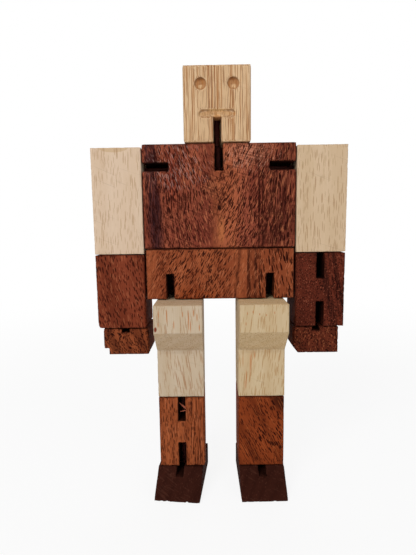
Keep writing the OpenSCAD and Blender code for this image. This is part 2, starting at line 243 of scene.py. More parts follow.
# Growth rings and fibres of solid wood, in mm, with the grain along Z
def makeGrainGroup(detail):
    tree, given, out = newGroup(
        "solidGrain",
        {"Position": "Vector", "Heart": "Vector", "Ring Spacing": 3.0, "Wander": 1.5, "Wander Length": 30.0,
         "Fibre Width": 0.6, "Fibre Length": 14.0, "Seed": 0.0},
        {"Warped": "Vector", "Rings": "Float", "Fibre": "Float", "Cloud": "Float"})
    seed = given["Seed"]
    length = given["Wander Length"]
    bends = combined(tree, length, length, maths(tree, "MULTIPLY", length, 2.0))
    slow = noise(tree, vectors(tree, "DIVIDE", given["Position"], bends), seed, layers=1.5, output=1)
    drift = vectors(tree, "SUBTRACT", slow, (0.5, 0.5, 0.5))
    pushed = scaled(tree, drift, maths(tree, "MULTIPLY", given["Wander"], detail["wanderPush"]))
    warped = vectors(tree, "ADD", given["Position"], vectors(tree, "MULTIPLY", pushed, (1.0, 1.0, 0.0)))
    fromHeart = vectors(tree, "MULTIPLY", vectors(tree, "SUBTRACT", warped, given["Heart"]),
                        (1.0, 1.0, detail["ringLean"]))
    turns = maths(tree, "DIVIDE", vectors(tree, "LENGTH", fromHeart), given["Ring Spacing"])
    wave = maths(tree, "SINE", maths(tree, "MULTIPLY", turns, 2 * math.pi))
    rings = maths(tree, "POWER", maths(tree, "MULTIPLY_ADD", wave, 0.5, 0.5), 2.0)
    across = maths(tree, "DIVIDE", 1.0, given["Fibre Width"])
    stretch = combined(tree, across, across, maths(tree, "DIVIDE", 1.0, given["Fibre Length"]))
    fibre = noise(tree, vectors(tree, "MULTIPLY", warped, stretch), seed, layers=3.0, roughness=0.6)
    cloudStretch = (detail["cloudAcross"], detail["cloudAcross"], detail["cloudAlong"])
    cloud = noise(tree, vectors(tree, "MULTIPLY", warped, cloudStretch), seed, layers=2.5)
    tree.links.new(warped, out["Warped"])
    tree.links.new(rings, out["Rings"])
    tree.links.new(remap(tree, fibre, detail["low"], detail["high"]), out["Fibre"])
    tree.links.new(remap(tree, cloud, detail["low"], detail["high"]), out["Cloud"])
    return tree


dashDetail = {"patchScale": 0.13, "patchSeed": 7.0, "soften": 0.04, "shortest": 0.35, "longer": 0.4,
              "inner": 0.82, "apart": (13.7, 5.3)}


# Short dashes that lie along the grain, one to a cell: open pores, or pale flecks
def makeDashGroup(detail):
    tree, given, out = newGroup(
        "grainDashes",
        {"Position": "Vector", "Width": 0.4, "Length": 3.0, "Fill": 0.4, "Share": 0.7, "Slant": 0.0,
         "Patches": 0.5, "Seed": 0.0},
        {"Mask": "Float"})
    parts = separated(tree, given["Position"])
    sheared = maths(tree, "SUBTRACT", parts["X"], maths(tree, "MULTIPLY", parts["Z"], given["Slant"]))
    across = maths(tree, "DIVIDE", given["Fill"], given["Width"])
    along = maths(tree, "DIVIDE", given["Fill"], given["Length"])
    cells = combined(tree, maths(tree, "MULTIPLY", sheared, across),
                     maths(tree, "MULTIPLY", parts["Y"], across), maths(tree, "MULTIPLY", parts["Z"], along))
    apart = [maths(tree, "MULTIPLY", given["Seed"], step) for step in detail["apart"]]
    moved = vectors(tree, "ADD", cells, combined(tree, *apart, 0.0))
    nearest = wire(tree, "ShaderNodeTexVoronoi", {"Vector": moved, "Scale": 1.0, "Randomness": 1.0})
    chance = wire(tree, "ShaderNodeSeparateColor", {0: nearest.outputs["Color"]}).outputs
    patchSeed = maths(tree, "ADD", given["Seed"], detail["patchSeed"])
    patches = noise(tree, given["Position"], patchSeed, detail["patchScale"], layers=1.0)
    patches = maths(tree, "SUBTRACT", patches, 0.5)
    limit = maths(tree, "MULTIPLY_ADD", patches, given["Patches"], given["Share"])
    spare = maths(tree, "SUBTRACT", limit, chance[0])
    present = remap(tree, spare, -detail["soften"], detail["soften"])
    size = maths(tree, "MULTIPLY_ADD", chance[1], detail["longer"], detail["shortest"])
    reach = maths(tree, "MULTIPLY", given["Fill"], size)
    inner = maths(tree, "MULTIPLY", reach, detail["inner"])
    body = maths(tree, "SUBTRACT", 1.0, remap(tree, nearest.outputs["Distance"], inner, reach))
    tree.links.new(maths(tree, "MULTIPLY", body, present), out["Mask"])
    return tree


edgeDrift = (0.5, 0.02, 0.12)  # how fast a stripe's edge wanders across, through and along the block


# A stripe along the grain, at a place across the face, with a wandering edge
def makeStripeGroup(drifts):
    tree, given, out = newGroup(
        "grainStripe",
        {"Position": "Vector", "Centre": 0.0, "Half Width": 1.0, "Softness": 1.0, "Wander": 0.8, "Slant": 0.0,
         "Seed": 0.0},
        {"Mask": "Float"})
    parts = separated(tree, given["Position"])
    drift = noise(tree, vectors(tree, "MULTIPLY", given["Position"], drifts), given["Seed"])
    offset = maths(tree, "MULTIPLY", maths(tree, "SUBTRACT", drift, 0.5),
                   maths(tree, "MULTIPLY", given["Wander"], 2.0))
    leaning = maths(tree, "ADD", given["Centre"], maths(tree, "MULTIPLY", parts["Z"], given["Slant"]))
    aside = maths(tree, "ADD", maths(tree, "SUBTRACT", parts["X"], leaning), offset)
    beyond = maths(tree, "SUBTRACT", maths(tree, "ABSOLUTE", aside), given["Half Width"])
    fade = remap(tree, beyond, 0.0, given["Softness"])
    tree.links.new(maths(tree, "SUBTRACT", 1.0, fade), out["Mask"])
    return tree


patchDetail = {"scale": 0.5, "ragged": 4.0}


# A rounded patch of colour with a ragged edge, for stains and for painted light and shade
def makePatchGroup(detail):
    tree, given, out = newGroup(
        "stain",
        {"Position": "Vector", "Centre": "Vector", "Size": "Vector", "Ragged": 0.2, "Edge": 0.3,
         "Seed": 0.0},
        {"Mask": "Float"})
    fromCentre = vectors(tree, "SUBTRACT", given["Position"], given["Centre"])
    reach = vectors(tree, "LENGTH", vectors(tree, "DIVIDE", fromCentre, given["Size"]))
    bites = noise(tree, given["Position"], given["Seed"], detail["scale"], layers=3.0)
    torn = maths(tree, "SUBTRACT", bites, 0.5)
    ragged = maths(tree, "MULTIPLY", torn, maths(tree, "MULTIPLY", given["Ragged"], detail["ragged"]))
    rim = maths(tree, "SUBTRACT", 1.0, given["Edge"])
    fade = remap(tree, maths(tree, "ADD", reach, ragged), rim, 1.0)
    tree.links.new(maths(tree, "SUBTRACT", 1.0, fade), out["Mask"])
    return tree


sawDetail = {"along": 0.05, "through": 0.4, "across": 2.2, "patchScale": 0.06, "patchSeed": 3.0,
             "lowest": 0.1, "highest": 0.4, "base": 0.72, "fade": 0.06}


# Fine arcs left by a round saw, about an axis beside the block
def makeSawGroup(detail):
    tree, given, out = newGroup(
        "sawMarks",
        {"Position": "Vector", "Saw Centre": (60.0, 0.0, 160.0), "Amount": 0.3, "Seed": 0.0},
        {"Mask": "Float"})
    parts = separated(tree, vectors(tree, "SUBTRACT", given["Position"], given["Saw Centre"]))
    radius = vectors(tree, "LENGTH", combined(tree, parts["X"], 0.0, parts["Z"]))
    travelled = maths(tree, "MULTIPLY", maths(tree, "ARCTAN2", parts["X"], parts["Z"]), radius)
    arcs = combined(tree, maths(tree, "MULTIPLY", travelled, detail["along"]),
                    maths(tree, "MULTIPLY", parts["Y"], detail["through"]),
                    maths(tree, "MULTIPLY", radius, detail["across"]))
    lines = noise(tree, arcs, given["Seed"], layers=1.0)
    patchSeed = maths(tree, "ADD", given["Seed"], detail["patchSeed"])
    patches = noise(tree, given["Position"], patchSeed, detail["patchScale"], layers=1.0)
    rise = remap(tree, patches, *noiseMiddle, detail["lowest"], detail["highest"])
    lowered = maths(tree, "MULTIPLY", given["Amount"], rise)
    level = maths(tree, "SUBTRACT", detail["base"], lowered)
    full = maths(tree, "ADD", level, detail["fade"])
    tree.links.new(remap(tree, lines, level, full), out["Mask"])
    return tree


edgeDetail = {"scale": 0.7, "from": 0.35, "to": 0.95}


# Worn edges: the surface's own edge measure, broken up by noise
def makeEdgeGroup(detail):
    tree, given, out = newGroup(
        "edgeWear", {"Position": "Vector", "Edge": 0.0, "Amount": 0.5, "Seed": 0.0}, {"Mask": "Float"})
    gaps = noise(tree, given["Position"], given["Seed"], detail["scale"], layers=3.0)
    broken = remap(tree, gaps, *noiseMiddle)
    near = remap(tree, given["Edge"], detail["from"], detail["to"])
    worn = maths(tree, "MULTIPLY", near, broken)
    tree.links.new(maths(tree, "MULTIPLY", worn, given["Amount"]), out["Mask"])
    return tree


grainGroup = makeGrainGroup(grainDetail)
dashGroup = makeDashGroup(dashDetail)
stripeGroup = makeStripeGroup(edgeDrift)
patchGroup = makePatchGroup(patchDetail)
sawGroup = makeSawGroup(sawDetail)
edgeGroup = makeEdgeGroup(edgeDetail)
print("wood groups made")

# What any wood starts from, in mm, degrees and 0 to 255; each block's own dictionary changes what differs
plainWood = {
    "grainTurn": (0.0, 0.0, 0.0), "heart": (40.0, 60.0, 0.0), "ringSpacing": 3.5, "ringShade": 0.3,
    "wander": 1.2, "wanderLength": 30.0, "fibreWidth": 0.5, "fibreLength": 14.0, "fibreShade": 0.5,
    "cloudShade": 0.3, "dashes": [], "stripes": [], "stains": [], "knots": [], "sawMarks": 0.2,
    "sawCentre": (60.0, 0.0, 160.0), "sawColour": (70, 34, 26), "sawShade": 0.12, "edgeAmount": 0.5,
    "rough": (0.6, 0.8), "shine": 0.02, "bump": 0.35, "endColour": (88, 44, 30), "endShade": 0.5,
    # Painted shade: slots, bores, grooves and places under overhangs darken towards this colour, by this
    # strength
    "shelterColour": (22, 9, 6), "shelterShade": 0.85, "round": 1.0, "chips": 1.0,
}
plainDash = {"slant": 0.0, "patches": 0.5, "depth": -0.6}
woodDetail = {"mottleScale": 2.2, "mottleLow": 0.6, "cutFrom": 0.3, "cutTo": 0.9, "stripeFibre": 0.8,
              "fibreDepth": -0.12, "sawDepth": -0.3, "dirtFrom": 0.1, "dirtTo": 0.55, "bumpSize": 0.4}
seedSteps = {"stripes": 0, "stains": 10, "dashes": 20, "areas": 30, "knots": 50}  # so that no two run alike


# Lays a colour over another where the mask says
def tint(tree, under, mask, strength, colour):
    return blendColours(tree, maths(tree, "MULTIPLY", mask, strength), under, paint(*colour))


def attribute(tree, name):
    return wire(tree, "ShaderNodeAttribute", attribute_name=name).outputs["Fac"]


def colourPatchMask(tree, place, spot, seed):
    return useGroup(tree, patchGroup, {
        "Position": place, "Centre": spot["at"], "Size": spot["size"], "Ragged": spot["ragged"],
        "Edge": spot["edge"], "Seed": seed})["Mask"]


# Stripes show more where the fibres are dark
def addStripes(tree, colour, stripes, along, fibre, seed):
    for number, band in enumerate(stripes):
        mask = useGroup(tree, stripeGroup, {
            "Position": along, "Centre": band["at"], "Half Width": band["half"], "Softness": band["soft"],
            "Wander": band["wander"], "Slant": band["slant"], "Seed": seed + number})["Mask"]
        mask = maths(tree, "MULTIPLY", mask, band["strength"])
        fibres = remap(tree, fibre, 0.0, woodDetail["stripeFibre"], 1.0 - band["fibres"], 1.0)
        colour = tint(tree, colour, mask, fibres, band["colour"])
    return colour


def addColourPatches(tree, colour, spots, place, seed):
    for number, spot in enumerate(spots):
        mask = colourPatchMask(tree, place, spot, seed + number)
        colour = tint(tree, colour, mask, spot["strength"], spot["colour"])
    return colour


# Pores and flecks colour the wood and sink into it, or stand up from it
def addDashes(tree, colour, height, dashes, warped, place, seed):
    for number, dash in enumerate(dashes):
        dash = {**plainDash, **dash}
        mask = useGroup(tree, dashGroup, {
            "Position": warped, "Width": dash["width"], "Length": dash["length"], "Fill": dash["fill"],
            "Share": dash["share"], "Slant": math.tan(math.radians(dash["slant"])),
            "Patches": dash["patches"], "Seed": seed + seedSteps["dashes"] + number})["Mask"]
        if "within" in dash:
            inside = colourPatchMask(tree, place, dash["within"], seed + seedSteps["areas"] + number)
            mask = maths(tree, "MULTIPLY", mask, inside)
        colour = tint(tree, colour, mask, dash["strength"], dash["colour"])
        height = maths(tree, "MULTIPLY_ADD", mask, dash["depth"], height)
    return colour, height


def woodMaterial(name, look, centre):
    material, tree, shader = newMaterial(name)
    seed = look["seed"]
    objectPlace = tree.nodes.new("ShaderNodeTexCoord").outputs["Object"]
    local = vectors(tree, "SUBTRACT", scaled(tree, objectPlace, 1 / mm), tuple(centre))
    turn = [math.radians(angle) for angle in look["grainTurn"]]
    along = wire(tree, "ShaderNodeMapping", {"Vector": local, "Rotation": turn}).outputs[0]
    grain = useGroup(tree, grainGroup, {
        "Position": along, "Heart": look["heart"], "Ring Spacing": look["ringSpacing"],
        "Wander": look["wander"], "Wander Length": look["wanderLength"], "Fibre Width": look["fibreWidth"],
        "Fibre Length": look["fibreLength"], "Seed": seed})
    colour = tint(tree, paint(*look["pale"]), grain["Cloud"], look["cloudShade"], look["deep"])
    colour = tint(tree, colour, grain["Fibre"], look["fibreShade"], look["deep"])
    colour = tint(tree, colour, grain["Rings"], look["ringShade"], look["ring"])
    mottle = noise(tree, local, seed, woodDetail["mottleScale"])
    cut = remap(tree, attribute(tree, "endGrain"), woodDetail["cutFrom"], woodDetail["cutTo"])
    cut = maths(tree, "MULTIPLY", cut, remap(tree, mottle, *noiseMiddle, woodDetail["mottleLow"], 1.0))
    colour = tint(tree, colour, cut, look["endShade"], look["endColour"])
    colour = addStripes(tree, colour, look["stripes"], along, grain["Fibre"], seed + seedSteps["stripes"])
    colour = addColourPatches(tree, colour, look["stains"], local, seed + seedSteps["stains"])
    height = maths(tree, "MULTIPLY", grain["Fibre"], woodDetail["fibreDepth"])
    colour, height = addDashes(tree, colour, height, look["dashes"], grain["Warped"], local, seed)
    colour = addColourPatches(tree, colour, look["knots"], local, seed + seedSteps["knots"])
    sawn = useGroup(tree, sawGroup, {
        "Position": local, "Saw Centre": look["sawCentre"], "Amount": look["sawMarks"], "Seed": seed})["Mask"]
    colour = tint(tree, colour, sawn, look["sawShade"], look["sawColour"])
    height = maths(tree, "MULTIPLY_ADD", sawn, woodDetail["sawDepth"], height)
    worn = useGroup(tree, edgeGroup, {
        "Position": local, "Edge": attribute(tree, "edgeNear"), "Amount": look["edgeAmount"], "Seed": seed})
    colour = blendColours(tree, worn["Mask"], colour, paint(*look["edgeColour"]))
    # Painted shade in hollows: the more rays meet the block again, the darker the wood
    paintedHollowShade = remap(tree, attribute(tree, "sheltered"), woodDetail["dirtFrom"], woodDetail["dirtTo"])
    colour = tint(tree, colour, paintedHollowShade, look["shelterShade"], look["shelterColour"])
    tree.links.new(colour, shader.inputs["Base Color"])
    rough = remap(tree, grain["Fibre"], 0.0, 1.0, *look["rough"], smooth=False)
    tree.links.new(rough, shader.inputs["Roughness"])
    shader.inputs["Specular IOR Level"].default_value = look["shine"]
    addBump(tree, shader, height, look["bump"], woodDetail["bumpSize"])
    return material


# Remeshed blocks get soft, slightly chipped edges and a measure of how enclosed each place is, which drives
# painted shade: sizes in mm, a sharp edge's angle in radians
wear = {"merge": 0.002, "cell": 0.42, "depth": 8, "sharpAngle": 0.33, "edgeReach": 1.1, "edgeWear": 0.05,
        "chipDepth": 0.3, "chipSize": 2.0, "chipFrom": 0.52, "chipTo": 0.68, "waviness": 0.06,
        "wavesPerMetre": 90.0, "waveSeed": 5.0, "shelterReach": 8.0, "shelterLift": 0.05,
        "shelterLean": 1.7, "shelterBlur": 3}


# Share of five rays, one straight out and four leaning, that meet the same block again; the material darkens
# such places as painted shade
def shelterField(tree, block, place, normal, reach):
    start = vectors(tree, "ADD", place, scaled(tree, normal, wear["shelterLift"] * mm))
    oddWay = (0.31, 0.62, 0.72)  # a way that no flat face of a block points
    side = vectors(tree, "NORMALIZE", vectors(tree, "CROSS_PRODUCT", normal, oddWay))
    other = vectors(tree, "CROSS_PRODUCT", normal, side)
    lean = wear["shelterLean"]
    leanings = ((0.0, 0.0), (lean, 0.0), (-lean, 0.0), (0.0, lean), (0.0, -lean))
    hits = 0.0
    for aside, across in leanings:
        leaned = vectors(tree, "ADD", scaled(tree, side, aside), scaled(tree, other, across))
        ray = wire(tree, "GeometryNodeRaycast", {
            "Target Geometry": block, "Source Position": start,
            "Ray Direction": vectors(tree, "ADD", normal, leaned), "Ray Length": reach})
        share = maths(tree, "MULTIPLY", ray.outputs["Is Hit"], 1 / len(leanings))
        hits = maths(tree, "ADD", hits, share)
    return wire(tree, "GeometryNodeBlurAttribute", {"Value": hits, "Iterations": wear["shelterBlur"]},
                data_type="FLOAT").outputs[0]


# Every tree ends in real geometry, smooth and with its material
def finishTree(tree, geometry, material, out):
    smooth = wire(tree, "GeometryNodeSetShadeSmooth", {"Geometry": geometry}).outputs[0]
    real = wire(tree, "GeometryNodeRealizeInstances", {"Geometry": smooth}).outputs[0]
    covered = wire(tree, "GeometryNodeSetMaterial", {"Geometry": real, "Material": material}).outputs[0]
    tree.links.new(covered, out["Geometry"])


def makeWearTree():
    tree, given, out = newGroup(
        "wornSurface",
        {"Geometry": "Geometry", "Sharp Block": "Object", "Edge Reach": wear["edgeReach"] * mm,
         "Edge Wear": wear["edgeWear"] * mm, "Chip Depth": wear["chipDepth"] * mm,
         "Chip Size": wear["chipSize"] * mm, "Waviness": wear["waviness"] * mm,
         "Shelter Reach": wear["shelterReach"] * mm, "Grain": (0.0, 0.0, 1.0), "Seed": 0.0,
         "Wood": "Material"},
        {"Geometry": "Geometry"}, "GeometryNodeTree")
    block = wire(tree, "GeometryNodeObjectInfo", {"Object": given["Sharp Block"]}).outputs["Geometry"]
    angle = tree.nodes.new("GeometryNodeInputMeshEdgeAngle").outputs["Unsigned Angle"]
    sharp = wire(tree, "FunctionNodeCompare", {0: angle, 1: wear["sharpAngle"]}, data_type="FLOAT",
                 operation="GREATER_THAN").outputs[0]
    edges = wire(tree, "GeometryNodeSeparateGeometry", {"Geometry": block, "Selection": sharp},
                 domain="EDGE").outputs[0]
    reach = wire(tree, "GeometryNodeProximity", {0: edges}, target_element="EDGES").outputs["Distance"]
    near = remap(tree, reach, 0.0, given["Edge Reach"], 1.0, 0.0)
    place = tree.nodes.new("GeometryNodeInputPosition").outputs[0]
    normal = tree.nodes.new("GeometryNodeInputNormal").outputs[0]
    endGrain = maths(tree, "ABSOLUTE", vectors(tree, "DOT_PRODUCT", normal, given["Grain"]))
    shelter = shelterField(tree, block, place, normal, given["Shelter Reach"])
    stored = given["Geometry"]
    for label, value in (("edgeNear", near), ("endGrain", endGrain), ("sheltered", shelter)):
        stored = wire(tree, "GeometryNodeStoreNamedAttribute", {
            "Geometry": stored, "Name": label, "Value": value}, data_type="FLOAT", domain="POINT").outputs[0]
    chipScale = maths(tree, "DIVIDE", 1.0, given["Chip Size"])
    chips = remap(tree, noise(tree, place, given["Seed"], chipScale), wear["chipFrom"], wear["chipTo"])
    waveSeed = maths(tree, "ADD", given["Seed"], wear["waveSeed"])
    waves = noise(tree, place, waveSeed, wear["wavesPerMetre"], layers=1.0)
    loss = maths(tree, "MULTIPLY_ADD", chips, given["Chip Depth"], given["Edge Wear"])
    depth = maths(tree, "MULTIPLY_ADD", waves, given["Waviness"], maths(tree, "MULTIPLY", near, loss))
    push = scaled(tree, normal, maths(tree, "MULTIPLY", depth, -1.0))
    moved = wire(tree, "GeometryNodeSetPosition", {"Geometry": stored, "Offset": push}).outputs[0]
    finishTree(tree, moved, given["Wood"], out)
    return tree


wearTree = makeWearTree()


# Adds a Geometry Nodes modifier and sets inputs by their identifiers; the rest keep the tree's own values
def addTree(thing, tree, settings):
    modifier = thing.modifiers.new(tree.name, "NODES")
    modifier.node_group = tree
    for item in tree.interface.items_tree:
        if item.item_type == "SOCKET" and item.in_out == "INPUT" and item.name in settings:
            modifier[item.identifier] = settings[item.name]


# A merged copy of a CAD node, which itself is left alone
def mergedCopy(nodeName, copyName):
    shape = bmesh.new()
    shape.from_mesh(nodes[nodeName].data)
    bmesh.ops.remove_doubles(shape, verts=shape.verts, dist=wear["merge"] * mm)
    mesh = bpy.data.meshes.new(copyName)
    shape.to_mesh(mesh)
    shape.free()
    return addObject(copyName, mesh)


bodyOf = {node: body for body, members in frame["record"]["behaviour"]["bodies"].items() for node in members}


# Turns a source with its modifiers into a plain mesh that stands for a CAD node
def settle(source, name, nodeName):
    bpy.context.view_layer.update()
    graph = bpy.context.evaluated_depsgraph_get()
    mesh = bpy.data.meshes.new_from_object(source.evaluated_get(graph))
    source.modifiers.clear()
    mesh.name = name
    piece = addObject(name, mesh)
    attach(piece, bodyOf[nodeName])
    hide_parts(nodeName)


def camel(nodeName, ending=""):
    first, *rest = nodeName.split("_")
    return first + "".join(word.capitalize() for word in rest) + ending


# The way the grain runs, as the Mapping node of the material turns it
def grainAxis(look):
    turn = [math.radians(angle) for angle in look["grainTurn"]]
    return tuple(Euler(turn).to_matrix().inverted() @ Vector((0, 0, 1)))


def wornBlock(nodeName, look):
    look = {**plainWood, **look}
    name = camel(nodeName, "Block")
    low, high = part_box(nodeName)
    material = woodMaterial(camel(nodeName, "Wood"), look, (low + high) / 2 / mm)
    sharp = mergedCopy(nodeName, name + "Sharp")
    rough = mergedCopy(nodeName, name + "Rough")
    remesh = rough.modifiers.new("evenMesh", "REMESH")
    remesh.mode = "SHARP"
    remesh.octree_depth = wear["depth"]
    remesh.scale = max(high - low) / (wear["cell"] * mm * 2 ** wear["depth"])
    remesh.use_remove_disconnected = False
    remesh.use_smooth_shade = True
    addTree(rough, wearTree, {
        "Sharp Block": sharp, "Edge Wear": look["round"] * wear["edgeWear"] * mm,
        "Chip Depth": look["chips"] * wear["chipDepth"] * mm, "Grain": grainAxis(look), "Seed": look["seed"],
        "Wood": material})
    settle(rough, name, nodeName)
    for helper in (sharp, rough):
        bpy.data.objects.remove(helper)


# Parts of a look, in mm from the middle of the block. A stripe has a place across the face and half its
# width, and leans aside by its slant per mm of height; a colour patch and an area have a place and half
# their size; a dash is one of the kinds below, with a slant in degrees
def stripe(at, half, soft, colour, strength, wander=0.8, slant=0.0, fibres=0.5):
    return {"at": at, "half": half, "soft": soft, "colour": colour, "strength": strength, "wander": wander,
            "slant": slant, "fibres": fibres}


def stain(at, size, colour, strength, edge=0.5, ragged=0.15):
    return {"at": at, "size": size, "colour": colour, "strength": strength, "edge": edge, "ragged": ragged}


def area(at, size):
    return {"at": at, "size": size, "edge": 0.6, "ragged": 0.2}


# Kinds of dashes: pores and dark lines sink into the wood, light streaks stand up a little
darkPore = dict(width=0.55, length=3.3, fill=0.85, share=0.72, colour=(34, 9, 6), strength=0.97)
finePore = dict(
    darkPore, width=0.38, length=2.0, fill=0.75, share=0.6, colour=(48, 14, 9), strength=0.9, depth=-0.3,
)
darkLine = dict(width=0.38, length=14.0, fill=0.75, share=0.8, colour=(52, 17, 11), strength=0.85)
lightStreak = dict(
    width=0.36, length=3.0, fill=0.65, share=0.5, colour=(196, 118, 80), strength=0.38, depth=0.15,
)
leftSide = area((-22.0, 0.0, 0.0), (26.0, 90.0, 60.0))
rightSide = area((12.0, 0.0, 4.0), (19.0, 90.0, 60.0))
farRight = area((31.0, 0.0, 0.0), (14.0, 90.0, 60.0))
chestLook = dict(
    pale=(172, 93, 66), deep=(114, 52, 39), ring=(94, 41, 31), ringSpacing=9.0, ringShade=0.3,
    cloudShade=0.8, fibreShade=0.62, fibreWidth=0.42, wander=2.6, wanderLength=24.0, seed=3.0,
    stripes=[
        # The dark band on the left: its own dark colour, with a bluish cast that is painted sheen
        stripe(-30.9, 1.7, soft=2.4, wander=1.8, slant=-0.06, colour=(46, 30, 36), strength=0.86, fibres=0.6),
        stripe(29.6, 1.1, soft=1.8, wander=1.4, slant=0.17, colour=(48, 20, 16), strength=0.6, fibres=0.8),
        stripe(25.0, 0.3, soft=0.8, wander=1.4, slant=0.2, colour=(52, 22, 17), strength=0.75, fibres=0.4),
        stripe(31.5, 3.0, soft=5.0, wander=2.0, colour=(78, 34, 24), strength=0.25),
        stripe(3.0, 3.0, soft=6.0, wander=2.0, colour=(184, 104, 62), strength=0.4),
        stripe(18.6, 0.2, soft=0.3, wander=0.3, colour=(60, 24, 17), strength=0.9, fibres=0.2),
        stripe(20.4, 0.15, soft=0.3, wander=0.4, colour=(60, 24, 17), strength=0.9, fibres=0.2),
    ],
    stains=[
        stain((0.8, -12.0, -15.5), (2.6, 14.0, 9.0), edge=0.8, colour=(190, 114, 68), strength=0.6),
        stain((31.0, -12.0, -13.0), (7.0, 10.0, 14.0), edge=0.7, ragged=0.3, colour=(62, 27, 20),
              strength=0.35),
        stain((-31.0, -12.0, 17.0), (3.6, 10.0, 6.0), edge=0.7, ragged=0.3, colour=(42, 22, 26),
              strength=0.7),
        stain((-29.4, -12.0, -12.0), (5.5, 10.0, 16.0), edge=0.9, ragged=0.4, colour=(56, 30, 30),
              strength=0.45),
        stain((-22.0, -12.0, 6.0), (5.0, 10.0, 16.0), edge=0.9, ragged=0.3, colour=(150, 62, 44),
              strength=0.4),
        stain((13.0, -12.0, 20.0), (15.0, 10.0, 8.0), edge=0.7, ragged=0.2, colour=(200, 126, 96),
              strength=0.5),
        stain((-15.0, -12.0, -17.0), (15.0, 10.0, 9.0), edge=0.8, ragged=0.3, colour=(104, 44, 34),
              strength=0.55),
        stain((-4.0, -12.0, 4.0), (5.0, 10.0, 6.0), edge=0.9, ragged=0.3, colour=(176, 104, 70),
              strength=0.5),
    ],
    dashes=[
        dict(lightStreak, width=0.3, length=4.2, share=0.7, slant=-10.0, strength=0.6,
             within=area((-12.0, 0.0, 0.0), (16.0, 90.0, 60.0))),
        dict(lightStreak, width=0.3, length=4.2, share=0.7, slant=16.0, strength=0.6, within=rightSide),
        dict(lightStreak, width=0.3, length=7.0, share=0.7, slant=10.0, strength=0.6, within=farRight),
        dict(darkPore, slant=-9.0, length=2.8, width=0.44, within=leftSide),
        dict(finePore, slant=-14.0, share=0.7, within=leftSide),
        dict(darkPore, slant=23.0, length=2.6, width=0.44, within=rightSide),
        dict(finePore, slant=16.0, share=0.75, within=rightSide),
        dict(darkLine, slant=-12.0, length=7.0, share=0.7, strength=0.75,
             within=area((-20.0, -12.0, -3.0), (14.0, 20.0, 26.0))),
        dict(darkLine, slant=-3.0, length=9.0, strength=0.65, colour=(28, 15, 18),
             within=area((-30.0, -12.0, -2.0), (6.0, 20.0, 26.0))),
        dict(finePore, slant=-5.0, length=5.0, within=area((-24.0, 0.0, 4.0), (9.0, 90.0, 26.0))),
        dict(finePore, slant=20.0, length=3.6, within=area((28.0, 0.0, -10.0), (12.0, 90.0, 16.0))),
        dict(finePore, slant=-20.0, length=2.6, within=area((-6.0, 0.0, 4.0), (16.0, 90.0, 24.0))),
        dict(darkPore, slant=4.0, share=0.7, within=farRight),
        dict(darkLine, slant=9.0, within=area((26.0, -12.0, 0.0), (13.0, 20.0, 40.0))),
        # Painted highlights: pale glints of sheen on the upper left and the upper right of the front, painted
        # into the colour and raised a little
        dict(width=0.26, length=2.4, fill=0.6, share=0.9, slant=-24.0, colour=(186, 142, 130), strength=0.65,
             depth=0.2, within=area((-19.0, -12.0, 14.0), (19.0, 20.0, 14.0))),
        dict(width=0.3, length=2.2, fill=0.65, share=0.8, slant=22.0, colour=(206, 146, 120), strength=0.6,
             depth=0.2, within=area((14.0, -12.0, 18.0), (17.0, 20.0, 9.0))),
    ],
    knots=[stain((0.0, -12.0, -5.3), (1.2, 4.0, 1.7), edge=0.5, colour=(30, 11, 8), strength=0.95)],
    sawMarks=0.42, sawCentre=(38.0, 0.0, 114.0), sawColour=(70, 28, 20), sawShade=0.5,
    edgeColour=(64, 28, 20), edgeAmount=0.5, chips=2.0, round=7.0,
)
hipsLeft = area((-12.0, 0.0, 0.0), (29.0, 90.0, 40.0))
hipsLook = dict(
    pale=(168, 92, 56), deep=(126, 60, 36), ring=(100, 42, 24), ringSpacing=8.0, ringShade=0.3,
    cloudShade=0.7, fibreShade=0.58, fibreWidth=0.42, wander=2.2, seed=5.0,
    stripes=[
        stripe(8.4, 0.3, soft=0.8, wander=1.0, slant=0.12, colour=(66, 27, 17), strength=0.7),
        stripe(16.0, 2.2, soft=1.4, wander=1.0, colour=(92, 40, 24), strength=0.5),
        stripe(13.8, 0.4, soft=0.5, wander=1.0, colour=(46, 17, 11), strength=0.85),
        stripe(16.9, 0.3, soft=0.5, wander=1.0, colour=(52, 20, 13), strength=0.8),
        stripe(19.0, 0.2, soft=0.4, wander=0.8, colour=(62, 26, 16), strength=0.7),
        stripe(25.0, 0.2, soft=0.4, wander=0.5, colour=(64, 26, 16), strength=0.6),
    ],
    stains=[
        stain((-12.0, -12.0, -10.0), (18.0, 10.0, 6.0), edge=0.9, ragged=0.2, colour=(142, 64, 28),
              strength=0.5),
    ],
    dashes=[
        dict(lightStreak, share=0.7, slant=22.0, strength=0.45),
        dict(darkPore, slant=28.0, width=0.46, length=2.1, fill=0.66, share=0.85, patches=0.2,
             within=hipsLeft),
        dict(finePore, slant=24.0, share=0.75, patches=0.2, within=hipsLeft),
        dict(darkPore, slant=-8.0, length=4.0, share=0.8, within=area((28.0, 0.0, 0.0), (18.0, 90.0, 40.0))),
    ],
    edgeColour=(70, 32, 20), chips=1.9, round=4.0,
)
fineLine = dict(
    width=0.3, length=34.0, fill=0.8, share=0.72, patches=0.2, colour=(166, 108, 58), strength=0.8,
    depth=-0.3,
)
face = {"eyeAcross": 7.5, "eyeUp": 8.9, "mouthUp": -4.3, "mouthHalf": 8.0}


# A dimple: its wall and floor darker, partly the drilled wood's own tone and partly painted shade; painted
# shade under its upper rim; a painted highlight on its lower side
def eyeToneAndPaintedShading(across, up):
    return [
        stain((across, -10.6, up), (3.1, 1.9, 3.1), edge=0.15, ragged=0.0, colour=(168, 114, 68),
              strength=0.85),
        stain((across - 0.2, -11.2, up + 2.1), (2.4, 0.9, 1.3), edge=0.8, ragged=0.0, colour=(124, 66, 22),
              strength=0.75),
        stain((across + 0.3, -10.9, up - 1.1), (2.0, 1.6, 1.5), edge=0.9, ragged=0.0, colour=(232, 196, 150),
              strength=0.85),
    ]
